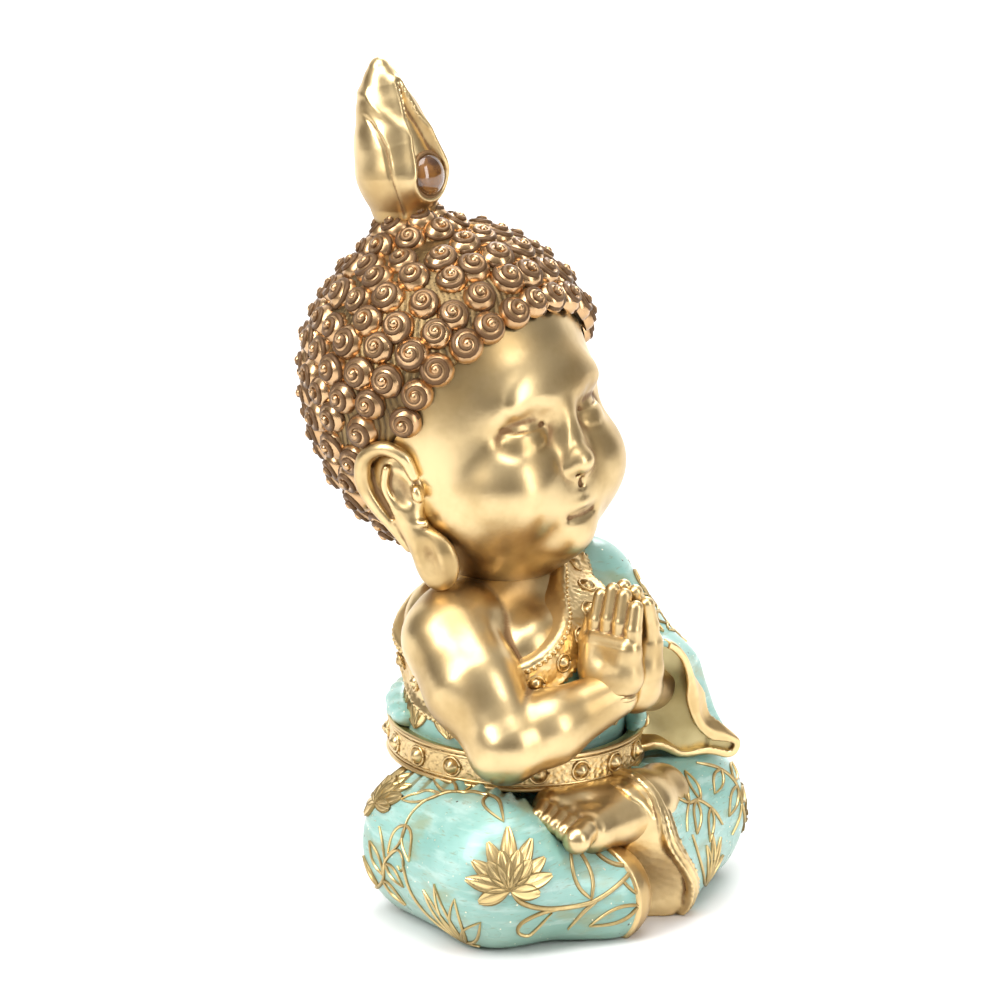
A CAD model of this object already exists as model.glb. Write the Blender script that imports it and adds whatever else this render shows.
import math

import bpy
import numpy as np
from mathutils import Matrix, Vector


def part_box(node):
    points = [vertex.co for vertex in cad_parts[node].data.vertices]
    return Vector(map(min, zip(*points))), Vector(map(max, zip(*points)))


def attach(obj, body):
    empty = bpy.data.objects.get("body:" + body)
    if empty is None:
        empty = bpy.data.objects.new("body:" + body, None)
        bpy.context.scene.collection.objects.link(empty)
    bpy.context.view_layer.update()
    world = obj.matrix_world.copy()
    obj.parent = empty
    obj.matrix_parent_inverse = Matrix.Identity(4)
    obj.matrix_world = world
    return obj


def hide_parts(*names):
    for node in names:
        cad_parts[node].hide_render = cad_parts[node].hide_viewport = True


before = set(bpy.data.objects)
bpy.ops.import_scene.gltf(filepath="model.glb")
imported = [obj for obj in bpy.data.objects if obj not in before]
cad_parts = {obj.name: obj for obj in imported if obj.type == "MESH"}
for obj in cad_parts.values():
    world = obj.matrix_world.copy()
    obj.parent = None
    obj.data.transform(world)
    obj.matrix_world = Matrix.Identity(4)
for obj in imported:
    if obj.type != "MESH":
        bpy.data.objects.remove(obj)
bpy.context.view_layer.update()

import openvdb as vdb
from mathutils import Euler, Matrix, Vector
from mathutils.bvhtree import BVHTree

MM = 0.001

# Everything below is sculpted in millimetres, in the frame's own axes.


def corners(node):
    """The lowest and highest corners of a CAD node, in millimetres."""
    low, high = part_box(node)
    return np.array(low) / MM, np.array(high) / MM


LEGS_HIGH = corners("lower_body")[1]
BELT_LOW, BELT_HIGH = corners("belt_band")
HAND_LOW = corners("right_hand")[0]

SPINE_Y = (BELT_LOW[1] + BELT_HIGH[1]) / 2
BELT_Z = (BELT_LOW[2] + BELT_HIGH[2]) / 2
BELT_R = (BELT_HIGH[0] - BELT_LOW[0]) / 2
BELT_H = 8.5
BELT_DIP = math.radians(2.5)
BELT_STUDS = 18
COLLAR_T = 0.34
KNEE = np.array([LEGS_HIGH[0] - 16, -7.5, 16.6])
HIP = np.array([25, 20, 16.0])
HEM_X = -6.0
CUFF_X = 10.0
FLOOR_GAP = 0.1
ANKLE = np.array([6, -21.5, 26.6])
BIG_TOE = np.array([-18.5, -22.5, 26.0])
LITTLE_TOE = np.array([-21.5, -12.0, 31.0])
SHOULDER = np.array([25, SPINE_Y - 0.5, 67.5])
ELBOW = np.array([29, -8, 47.0])
WRIST = np.array([4.2, -18.5, HAND_LOW[2] + 1])
SKULL = np.array([-2, SPINE_Y + 18, 124.0])
SKULL_R = 32.0
HAIR_R = SKULL_R + 1.8
HAIR_LOW = 1.25
HEAD_BACK = math.radians(8.5)
HEAD_SIDE = math.radians(4.5)
BUN_BACK = math.radians(9)
BUN_RISE = 24.0
BUN_R = 14.0
FINIAL_FOOT = BUN_RISE + BUN_R
FINIAL_UP = math.radians(13)
MIRROR = np.array([-1, 1, 1.0])
WALL = 1.5
SASH_W = 10.0
SASH_AT = (-20.5, SPINE_Y - 11, 57.5)
SASH_LEAN = math.radians(4)
SASH_RISE = math.radians(33)


def unit(v):
    v = np.asarray(v, float)
    return v / np.linalg.norm(v)


def placed(at, turn=(0, 0, 0)):
    """A 4x4 matrix that turns by Euler angles and then moves."""
    return np.array(Matrix.Translation(Vector(at)) @ Euler(turn, "XYZ").to_matrix().to_4x4())


def turned(m, points):
    """Points moved by a 4x4 matrix."""
    return np.asarray(points) @ m[:3, :3].T + m[:3, 3]


def height_over(m, x, y, z):
    """How far points lie above a tilted plane."""
    return ((x - m[0, 3]) * m[0, 2] + (y - m[1, 3]) * m[1, 2] + (z - m[2, 3]) * m[2, 2]).astype(np.float32)


def outward(m, a):
    """The direction at an angle within a tilted plane."""
    return m[:3, 0] * math.cos(a) + m[:3, 1] * math.sin(a)


HEAD = placed(SKULL, (-HEAD_BACK, -HEAD_SIDE, 0))
BUN = HEAD @ placed((0, 0, 0), (-BUN_BACK, 0, 0))
FINIAL = BUN @ placed((0, 0, FINIAL_FOOT), (FINIAL_UP, 0, 0))
SASH = placed(SASH_AT, (SASH_LEAN, -SASH_RISE, 0))
BELT = placed((0, SPINE_Y, BELT_Z), (BELT_DIP, 0, 0))


def toward(azimuth, elevation):
    """The direction from the figure to something at an azimuth and an elevation."""
    return Vector((
        math.sin(azimuth) * math.cos(elevation),
        -math.cos(azimuth) * math.cos(elevation),
        math.sin(elevation),
    ))


# ---------- distance-field clay ----------

def blend_min(a, b, k):
    """The lower of two distances, rounded where they meet over a width k."""
    if np.max(k) <= 0:
        return np.minimum(a, b)
    h = np.maximum(k - np.abs(a - b), 0) / k
    return np.minimum(a, b) - h * h * k / 4


def blend_max(a, b, k):
    return -blend_min(-a, -b, k)


def cone(a, ra, b, rb):
    """A round-ended link that tapers from radius ra at a to rb at b."""
    a, b = np.asarray(a, float), np.asarray(b, float)
    v = b - a
    vv = max(float(v @ v), 1e-9)

    def field(x, y, z):
        px, py, pz = x - a[0], y - a[1], z - a[2]
        h = np.clip((px * v[0] + py * v[1] + pz * v[2]) / vv, 0, 1)
        reach = np.sqrt((px - h * v[0]) ** 2 + (py - h * v[1]) ** 2 + (pz - h * v[2]) ** 2)
        return reach - (ra + h * (rb - ra))

    r = max(ra, rb)
    return field, np.minimum(a, b) - r, np.maximum(a, b) + r


def ball(c, r):
    return cone(c, r, c, r)


def egg(c, radii, turn=(0, 0, 0)):
    """An ellipsoid, turned by Euler degrees."""
    c, radii = np.asarray(c, float), np.asarray(radii, float)
    m = np.array(Euler([math.radians(t) for t in turn], "XYZ").to_matrix())

    def field(x, y, z):
        px, py, pz = x - c[0], y - c[1], z - c[2]
        q = [(m[0, i] * px + m[1, i] * py + m[2, i] * pz) for i in range(3)]
        k0 = np.sqrt(sum((q[i] / radii[i]) ** 2 for i in range(3)))
        k1 = np.sqrt(sum((q[i] / radii[i] ** 2) ** 2 for i in range(3)))
        return k0 * (k0 - 1) / np.maximum(k1, 1e-6)

    r = radii.max()
    return field, c - r, c + r


def chain(points, radii):
    """A bent link through several points."""
    links = [cone(points[i], radii[i], points[i + 1], radii[i + 1]) for i in range(len(points) - 1)]

    def field(x, y, z):
        d = links[0][0](x, y, z)
        for link in links[1:]:
            d = np.minimum(d, link[0](x, y, z))
        return d

    return field, np.min([l[1] for l in links], 0), np.max([l[2] for l in links], 0)


def side_of(point, normal):
    """The half-space behind a plane: inside where the normal points away from."""
    point, normal = np.asarray(point, float), unit(normal)

    def field(x, y, z):
        return (x - point[0]) * normal[0] + (y - point[1]) * normal[1] + (z - point[2]) * normal[2]

    return field, None, None


FAR = 40.0


class Clay:
    """A block of clay held as distances on a grid of the given step, below zero inside."""

    def __init__(self, low, high, step):
        self.low = np.array(low, float)
        self.step = step
        count = np.ceil((np.array(high, float) - self.low) / step).astype(int) + 1
        self.d = np.full(count, FAR, np.float32)

    def window(self, low, high, margin):
        if low is None:
            return tuple(slice(0, n) for n in self.d.shape)
        first = np.floor((low - margin - self.low) / self.step).astype(int)
        last = np.ceil((high + margin - self.low) / self.step).astype(int) + 1
        return tuple(slice(max(0, a), max(0, min(n, b))) for a, b, n in zip(first, last, self.d.shape))

    def points(self, window=None):
        window = window or self.window(None, None, 0)
        lines = [
            (self.low[i] + self.step * np.arange(w.start, w.stop)).astype(np.float32)
            for i, w in enumerate(window)
        ]
        return np.meshgrid(*lines, indexing="ij", sparse=True)

    def measure(self, shape, margin):
        field, low, high = shape
        window = self.window(low, high, margin)
        return window, field(*self.points(window)).astype(np.float32)

    def add(self, shape, k=0.0):
        window, d = self.measure(shape, k + 2 * self.step + 2)
        self.d[window] = blend_min(self.d[window], d, k)
        return self

    def cut(self, shape, k=0.0):
        window, d = self.measure(shape, k + 2 * self.step + 2)
        self.d[window] = blend_max(self.d[window], -d, k)
        return self

    def within(self, d, k=0.0):
        """Cut away all that lies outside some distances."""
        self.d = blend_max(self.d, d.astype(np.float32), k)
        return self

    def keep(self, shape, k=0.0):
        return self.within(shape[0](*self.points()), k)

    def swell(self, rise):
        self.d = self.d - rise.astype(np.float32)

    def like(self, d):
        """A block on the same grid with other distances."""
        other = Clay(self.low, self.low, self.step)
        other.d = d
        return other

    def empty(self):
        return self.like(np.full_like(self.d, FAR))

    def copy(self, grow=0.0):
        return self.like(self.d - np.float32(grow))

    def mesh(self):
        reach = 3 * self.step
        d = np.clip(self.d, -reach, reach)
        d[[0, -1]] = reach
        d[:, [0, -1]] = reach
        d[:, :, [0, -1]] = reach
        grid = vdb.FloatGrid(reach)
        grid.copyFromArray(d)
        points, quads = grid.convertToQuads(isovalue=0.0)
        return self.low + points.astype(float) * self.step, quads.astype(np.int64)


# ---------- meshes ----------

def normals_of(verts, faces):
    a, b, c = verts[faces[:, 0]], verts[faces[:, 1]], verts[faces[:, 2]]
    face_n = np.cross(b - a, c - a)
    if faces.shape[1] == 4:
        face_n = face_n + np.cross(c - a, verts[faces[:, 3]] - a)
    n = np.zeros_like(verts)
    for axis in range(3):
        for k in range(faces.shape[1]):
            n[:, axis] += np.bincount(faces[:, k], face_n[:, axis], len(verts))
    return n / np.maximum(np.linalg.norm(n, axis=1, keepdims=True), 1e-12)


def hollowness(verts, faces, rounds):
    """How far each point lies below its smoothed surroundings, in millimetres."""
    edges = np.concatenate([faces[:, [k, (k + 1) % faces.shape[1]]] for k in range(faces.shape[1])])
    edges = np.unique(np.sort(edges, axis=1), axis=0)
    ends = np.concatenate([edges, edges[:, ::-1]])
    count = np.maximum(np.bincount(ends[:, 0], minlength=len(verts)), 1)
    smooth = verts.copy()
    for _ in range(rounds):
        for axis in range(3):
            mean = np.bincount(ends[:, 0], smooth[ends[:, 1], axis], len(verts)) / count
            smooth[:, axis] = 0.4 * smooth[:, axis] + 0.6 * mean
    return ((smooth - verts) * normals_of(verts, faces)).sum(1)


def linked(name, data):
    """A new object of the scene."""
    obj = bpy.data.objects.new(name, data)
    bpy.context.scene.collection.objects.link(obj)
    return obj


def smooth_mesh(name, verts, faces, material):
    mesh = bpy.data.meshes.new(name)
    mesh.from_pydata(verts, [], faces)
    mesh.polygons.foreach_set("use_smooth", [True] * len(mesh.polygons))
    mesh.materials.append(material)
    return mesh


def piece(name, verts, faces, paint, nodes=None, hollow=14):
    """A mesh that rides on the root body, in place of the CAD node of its name or of the given nodes."""
    material, slot = paint
    mesh = smooth_mesh(name, (verts * MM).tolist(), faces.tolist(), material)
    depth = hollowness(verts, faces, hollow).astype(np.float32)
    mesh.attributes.new("hollow", "FLOAT", "POINT").data.foreach_set("value", depth)
    mesh.update()
    obj = linked(name, mesh)
    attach(obj, "root")
    nodes = (name,) if nodes is None else nodes
    if nodes:
        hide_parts(*nodes)


def put(name, clay, paint, nodes=None, hollow=14, matrix=None):
    """The piece that a block of clay holds, and its surface for casting rays on."""
    verts, faces = clay.mesh()
    if matrix is not None:
        verts = turned(matrix, verts)
    piece(name, verts, faces, paint, nodes, hollow)
    return BVHTree.FromPolygons(verts.tolist(), faces.tolist())


# ---------- materials ----------

class Paint:
    """A node material with short helpers."""

    def __init__(self, name):
        self.material = bpy.data.materials.new(name)
        self.material.use_nodes = True
        self.tree = self.material.node_tree
        self.shader = self.tree.nodes["Principled BSDF"]

    def node(self, kind, inputs=None, **settings):
        n = self.tree.nodes.new(kind)
        for key, value in settings.items():
            setattr(n, key, value)
        for key, value in (inputs or {}).items():
            if isinstance(value, bpy.types.NodeSocket):
                self.tree.links.new(value, n.inputs[key])
            else:
                n.inputs[key].default_value = value
        return n.outputs[0]

    def place(self):
        return self.node("ShaderNodeTexCoord").node.outputs["Object"]

    def noise(self, scale, detail=3.0, stretch=(1, 1, 1)):
        at = self.node("ShaderNodeMapping", {"Vector": self.place(), "Scale": stretch})
        return self.node("ShaderNodeTexNoise", {"Vector": at, "Scale": scale, "Detail": detail})

    def math(self, operation, a, b=0.0, clamp=False):
        return self.node("ShaderNodeMath", {0: a, 1: b}, operation=operation, use_clamp=clamp)

    def spread(self, value, low, high, to_low=0.0, to_high=1.0):
        return self.node(
            "ShaderNodeMapRange",
            {"Value": value, "From Min": low, "From Max": high, "To Min": to_low, "To Max": to_high},
            interpolation_type="SMOOTHSTEP",
        )

    def mix(self, factor, a, b):
        n = self.tree.nodes.new("ShaderNodeMix")
        n.data_type = "RGBA"
        for socket, value in ((n.inputs[0], factor), (n.inputs[6], a), (n.inputs[7], b)):
            if isinstance(value, bpy.types.NodeSocket):
                self.tree.links.new(value, socket)
            else:
                socket.default_value = value if isinstance(value, float) else (*value, 1)
        return n.outputs[2]

    def hollow(self):
        n = self.tree.nodes.new("ShaderNodeAttribute")
        n.attribute_name = "hollow"
        return n.outputs["Fac"]

    def facing_up(self):
        """The height part of the surface's own direction: 1 faces up and -1 faces down."""
        n = self.tree.nodes.new("ShaderNodeNewGeometry")
        return self.node("ShaderNodeSeparateXYZ", {"Vector": n.outputs["Normal"]}).node.outputs["Z"]

    def bump(self, height, distance, strength=1.0, under=None):
        inputs = {"Height": height, "Distance": distance, "Strength": strength}
        if under is not None:
            inputs["Normal"] = under
        return self.node("ShaderNodeBump", inputs)

    def set(self, **values):
        for key, value in values.items():
            socket = self.shader.inputs[key.replace("_", " ")]
            if isinstance(value, bpy.types.NodeSocket):
                self.tree.links.new(value, socket)
            else:
                socket.default_value = value
        return self.material


def metal_paint(name, light, dark, wash, rough=0.3, grain=0.02, wash_at=(0.02, 0.16)):
    """Metallic paint over resin, with a brown wash left in the hollows and wear on the edges."""
    p = Paint(name)
    cloud = p.noise(60, 4)
    fine = p.noise(900, 4)
    tone = p.mix(p.spread(cloud, 0.32, 0.66), dark, light)
    tone = p.mix(p.spread(p.facing_up(), -0.15, -0.85, 0.0, 0.65), tone, wash)
    deep = p.spread(p.math("ADD", p.hollow(), p.math("MULTIPLY", p.math("SUBTRACT", fine, 0.5), 0.05)),
                    wash_at[0], wash_at[1], 0.0, 0.92)
    edge = p.spread(p.math("MULTIPLY", p.hollow(), -1.0), 0.05, 0.25, 0.0, 0.45)
    colour = p.mix(edge, p.mix(deep, tone, wash), tuple(min(1.0, c * 1.25) for c in light))
    shine = p.math("ADD", p.spread(cloud, 0.3, 0.7, rough + 0.06, rough - 0.05),
                   p.math("MULTIPLY", deep, 0.22))
    relief = p.bump(fine, grain * MM, 0.6, p.bump(p.noise(220, 3), 0.08 * MM, 0.35))
    return p.set(Base_Color=colour, Metallic=p.spread(deep, 0.0, 1.0, 1.0, 0.55), Roughness=shine,
                 Normal=relief)


def robe_paint(name):
    """Brushed mint paint with streaks, gold glitter and an olive wash in the hollows."""
    p = Paint(name)
    streak = p.noise(90, 5, (1, 1, 5))
    cloud = p.noise(45, 4)
    mint = p.mix(p.spread(cloud, 0.35, 0.65), (0.22, 0.44, 0.38), (0.32, 0.56, 0.50))
    mint = p.mix(p.spread(streak, 0.50, 0.70, 0.0, 0.65), mint, (0.52, 0.70, 0.64))
    mint = p.mix(p.spread(p.noise(70, 5, (1, 1, 2.5)), 0.53, 0.70, 0.0, 0.65), mint, (0.30, 0.33, 0.17))
    mint = p.mix(p.spread(p.noise(420, 4, (1, 1, 6)), 0.58, 0.72, 0.0, 0.5), mint, (0.25, 0.24, 0.11))
    mint = p.mix(p.spread(p.facing_up(), 0.1, -0.8, 0.0, 0.5), mint, (0.22, 0.30, 0.20))
    fleck = p.node("ShaderNodeTexVoronoi", {"Vector": p.place(), "Scale": 560.0})
    glitter = p.spread(fleck, 0.16, 0.10)
    glitter = p.math("MULTIPLY", glitter, p.spread(p.noise(300, 2), 0.50, 0.56))
    speck = p.node("ShaderNodeTexVoronoi", {"Vector": p.place(), "Scale": 330.0})
    dark = p.math("MULTIPLY", p.spread(speck, 0.13, 0.08), p.spread(p.noise(190, 2), 0.56, 0.60))
    fine = p.noise(700, 4)
    deep = p.spread(p.math("ADD", p.hollow(), p.math("MULTIPLY", p.math("SUBTRACT", fine, 0.5), 0.08)),
                    0.03, 0.2, 0.0, 0.85)
    colour = p.mix(deep, mint, (0.22, 0.21, 0.09))
    colour = p.mix(dark, colour, (0.05, 0.05, 0.03))
    colour = p.mix(glitter, colour, (0.92, 0.84, 0.62))
    relief = p.bump(streak, 0.35 * MM, 0.6, p.bump(fine, 0.05 * MM, 0.6))
    return p.set(Base_Color=colour, Metallic=p.math("MULTIPLY", glitter, 0.9),
                 Roughness=p.spread(cloud, 0.3, 0.7, 0.42, 0.26), Normal=relief, Coat_Weight=0.25,
                 Coat_Roughness=0.2)


def amber(name):
    """Polished amber with darker clouds."""
    p = Paint(name)
    colour = p.mix(p.spread(p.noise(260, 3), 0.4, 0.65), (0.34, 0.15, 0.04), (0.10, 0.04, 0.015))
    return p.set(Base_Color=colour, Roughness=0.08, Transmission_Weight=0.35, IOR=1.54, Coat_Weight=1.0,
                 Coat_Roughness=0.03)


def gold(name, light, dark, wash, **more):
    return metal_paint(name, light, dark, wash, **more), "gold_paint"


def bronze(name, light, dark, wash, **more):
    return metal_paint(name, light, dark, wash, **more), "bronze_paint"


SKIN = gold("skin_gold", (0.76, 0.58, 0.31), (0.50, 0.35, 0.16), (0.20, 0.10, 0.035), rough=0.34, grain=0.03)
TRIM = gold("trim_gold", (0.80, 0.61, 0.32), (0.60, 0.42, 0.19), (0.22, 0.12, 0.045), rough=0.34, grain=0.05,
            wash_at=(0.06, 0.26))
LINING = gold("lining_gold", (0.50, 0.42, 0.22), (0.34, 0.27, 0.12), (0.17, 0.12, 0.04), rough=0.40,
              grain=0.05)
RELIEF = gold("relief_gold", (0.88, 0.68, 0.34), (0.74, 0.54, 0.24), (0.24, 0.17, 0.06), rough=0.30,
              grain=0.04, wash_at=(0.06, 0.22))
HAIR = bronze("hair_bronze", (0.60, 0.39, 0.21), (0.42, 0.25, 0.12), (0.11, 0.055, 0.022), rough=0.27,
              wash_at=(0.05, 0.34))
CAP = bronze("cap_bronze", (0.27, 0.19, 0.09), (0.17, 0.11, 0.05), (0.07, 0.045, 0.02), rough=0.42,
             grain=0.05, wash_at=(0.01, 0.12))
ROBE = robe_paint("robe_mint"), "jade_paint"
STONE = amber("stone_amber"), "amber_stone"


# ---------- legs and robe ----------

def cuff_edge(z):
    """How far to the left the left leg's cuff opens at a height: it slants over the ankle."""
    t = np.clip((z - 3) / 20, 0, 1)
    return CUFF_X - 0.5 - 9.0 * t * t * (3 - 2 * t)


def lower_robe():
    """The right leg with the seat, and the left leg down to its cuff."""
    clay = Clay((-54, -46, -3), (54, 52, 40), 0.55)
    knee, hip = KNEE, HIP
    for s in (1, -1):
        m = np.array([s, 1, 1.0])
        clay.add(cone((hip - (0.5, 1, -3.6)) * m, 15.2, (knee + (0, 2, 2.2)) * m, 15.0), 5)
        clay.add(cone((hip - (0.5, 1, 0)) * m, 15.2, knee * m, 15.4), 5)
        clay.add(cone((hip - (0.5, 1, 3)) * m, 14.6, knee * m - (0, -1, 3.5), 14.2), 4)
    clay.add(cone(knee * MIRROR - (-1, 0.5, 2.2), 13.4, (HEM_X - 6, -21.8, 9), 11.4), 5)
    clay.add(cone((0, 8, 15), 24, (0, 20, 14), 21), 7)
    clay.add(ball((0, -4, 14), 14), 6)
    left = clay.empty()
    left.add(cone(hip - (0.5, 1, -3.6), 15.2, knee + (0, 2, 2.2), 15.0))
    left.add(cone(hip - (0.5, 1, 0), 15.2, knee, 15.4), 5)
    left.add(cone(knee - (0, 2, 1.5), 14.6, (CUFF_X - 9, -20.5, 14), 13.2), 6)
    left.add(cone(knee - (0, 2, 1), 13, (CUFF_X - 13, -19.8, 24.6), 11), 6)
    left.add(cone(knee + (-1, -3, -7), 12, (CUFF_X - 8, -24, 7.5), 11), 5)
    return clay, left


LOWER, LEFT_LEG = lower_robe()


def legs_field():
    """Both legs of the robe, with pleats under the belt and soft folds on the thighs."""
    clay = LOWER.copy()
    x, y, z = clay.points()
    clay.d = blend_min(clay.d, np.maximum(LEFT_LEG.d, cuff_edge(z) - x), 4)
    turn = np.arctan2(x, -(y - SPINE_Y))
    reach = np.hypot(x, y - SPINE_Y)
    pleats = np.sin(turn * 46 + 2.2 * np.sin(turn * 7)) * np.exp(-((reach - BELT_R - 1.0) / 4.0) ** 2)
    clay.swell(0.55 * pleats * np.clip((z - 26) / 6, 0, 1))
    fold = np.sin(0.55 * x + 0.28 * z + 1.4 * np.sin(0.12 * y)) * np.clip((z - 24) / 10, 0, 1)
    clay.swell(0.16 * fold)
    return clay


LEGS = legs_field()


def with_foot_pocket():
    """The legs' robe with the gap under the ankle, the cuff's pocket and the foot's bed cut out."""
    clay = LEGS.copy()
    x, y, z = clay.points()
    right = x - cuff_edge(z)
    gap = blend_max(np.maximum(HEM_X - x, right), y + 13, 3)
    clay.within(-gap, 1.0)
    pocket = blend_max(LEFT_LEG.d + WALL, right - 8, 3)
    clay.within(-pocket, 0.8)
    clay.keep(side_of((0, 0, 0), (0, 0, -1)), 1.2)
    clay.cut(foot_bed(), 0.8)
    return clay


def foot_bed():
    return chain([ANKLE + (0, 1, -1), (ANKLE + BIG_TOE) / 2 + (0, 2, 0), (BIG_TOE + LITTLE_TOE) / 2],
                 [7.0, 7.0, 6.4])


def left_foot():
    """The bare foot lying on its side on the right shin, with its five toes in a row."""
    clay = Clay((-36, -38, 10), (20, 0, 42), 0.32)
    clay.add(cone(ANKLE + (7, 2.5, 0), 7.4, ANKLE + (-3, 0.5, -0.2), 7.8))
    clay.add(cone(ANKLE + (-3, 0, -0.5), 7.8, BIG_TOE + (3, 0.8, -0.4), 5.2), 3)
    clay.add(cone(ANKLE + (-3, 2, 0.8), 6.8, LITTLE_TOE + (3, -0.5, -0.8), 4.2), 3)
    clay.add(cone(BIG_TOE + (2.6, 0.4, -0.8), 4.0, LITTLE_TOE + (2.6, 0, -1.2), 3.2), 3)
    for r, t in ((3.4, 0), (2.3, 0.33), (2.2, 0.56), (2.05, 0.78), (1.9, 0.99)):
        root = BIG_TOE + (1.5, -0.4, 0.6) + (LITTLE_TOE - BIG_TOE) * t
        tip = root + (-7.6 + 1.8 * t, -1.9, -0.4 - 0.8 * t)
        middle = (root + tip) / 2 + (0, 0, 0.7)
        clay.add(cone(root, r * 0.92, middle, r * 0.90), 0.7)
        clay.add(cone(middle, r * 0.90, tip, r), 0.25)
    return clay


def cuff_lining():
    """The gold face inside the left leg's open cuff, slanting back to the hem, with its raised rim."""
    clay = LEFT_LEG.like(blend_min(LEFT_LEG.d, LOWER.d, 5) + WALL - 0.2)
    x, y, z = clay.points()
    right = x - cuff_edge(z)
    slant = 0.72 * right + 0.69 * (y + 33.5)
    dish = 1.2 * np.exp(-(((y + 22) / 6) ** 2 + ((z - 10) / 8) ** 2))
    clay.within(0.8 + dish - slant, 1.0)
    clay.within(HEM_X + 0.2 - x)
    clay.within(np.maximum(right - 9, y + 12))
    lip = 0.45 + 0.3 * np.cos(np.clip(right - 1.0, -2.6, 2.6) * 2.2)
    rim = np.maximum(LEFT_LEG.d - lip, np.abs(right - 1.0) - 2.5)
    rim = blend_max(rim, -(LEFT_LEG.d + WALL + 0.4), 0.4)
    clay.d = blend_min(clay.d, np.maximum(rim, y + 7), 0.5)
    clay.within(FLOOR_GAP - z)
    grain = np.sin(2.3 * y + 1.1 * np.sin(1.7 * z)) * np.sin(2.5 * z + 1.3 * np.sin(1.3 * y))
    clay.swell(0.06 * grain)
    clay.cut(foot_bed(), 0.3)
    return clay


def right_hem():
    """The gold band round the open end of the right leg's robe."""
    clay = LOWER.copy(0.6)
    x, y, z = clay.points()
    clay.within(np.abs(x - HEM_X + 3.2) - 3.8, 0.8)
    clay.within(y + 15)
    clay.within(FLOOR_GAP - z)
    clay.swell(0.25 * np.exp(-((x - HEM_X + 6.2) / 0.45) ** 2))
    clay.cut(foot_bed(), 0.4)
    return clay


# ---------- torso, arms and hands ----------

def torso_only(grow=0.0, step=0.5):
    clay = Clay((-42, -16, 26), (42, 50, 92), step)
    clay.add(egg((0, SPINE_Y, 44), (26.6, 24.6, 20)))
    clay.add(egg((0, SPINE_Y + 1, 60), (24.6, 20.4, 16)), 8)
    clay.add(cone((-19, SPINE_Y + 1, 69), 9.2, (19, SPINE_Y + 1, 69), 9.2), 9)
    clay.add(cone((0, SPINE_Y + 3, 68), 12.5, (0, SPINE_Y + 5, 82), 11), 7)
    for s in (-1, 1):
        clay.add(egg((s * 9.5, SPINE_Y - 14.5, 64), (9.5, 6, 8)), 6)
        clay.add(egg((s * 12, SPINE_Y + 15, 66), (9, 5.5, 10)), 6)
    clay.cut(cone((0, SPINE_Y + 22.8, 48), 1.2, (0, SPINE_Y + 20.6, 76), 0.8), 5)
    return clay.copy(grow)


TORSO = torso_only()


def torso_and_arm():
    clay = TORSO.copy()
    clay.keep(side_of((0, 0, BELT_Z - 5), (0, 0, -1)), 1)
    shoulder, elbow, wrist = SHOULDER * MIRROR, ELBOW * MIRROR, WRIST * MIRROR
    big = Clay((-46, -32, 26), (42, 50, 92), clay.step)
    window = big.window(clay.low, clay.low + clay.step * (np.array(clay.d.shape) - 1), 0)
    big.d[window] = clay.d
    arm = big.empty()
    upper = shoulder * 0.55 + elbow * 0.45 + (-0.6, 0, 0)
    lower = elbow * 0.62 + wrist * 0.38 + (0, 0, -0.6)
    arm.add(cone(shoulder + (1, 0, -0.5), 11.8, upper, 11.2))
    arm.add(cone(upper, 11.2, elbow, 8.7), 3)
    arm.add(cone(elbow, 8.7, lower, 8.5), 1.5)
    arm.add(cone(lower, 8.5, wrist + (0.4, 0, 0), 5.8), 3)
    arm.add(ball(elbow + (-1.0, 1.5, -1.6), 7.4), 3)
    x, y, z = big.points()
    near_shoulder = np.exp(-(((x + 21) / 9) ** 2 + ((y - 15) / 12) ** 2 + ((z - 75) / 9) ** 2))
    big.d = blend_min(big.d, arm.d, (0.6 + 7.5 * near_shoulder).astype(np.float32))
    big.cut(cone((-14.5, -6.5, 64), 0.55, (-12.6, -7.5, 72), 0.35), 1.4)
    big.cut(cone((-15.2, -6.0, 63), 0.5, (-16, -4, 58), 0.4), 1.2)
    return big


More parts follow.
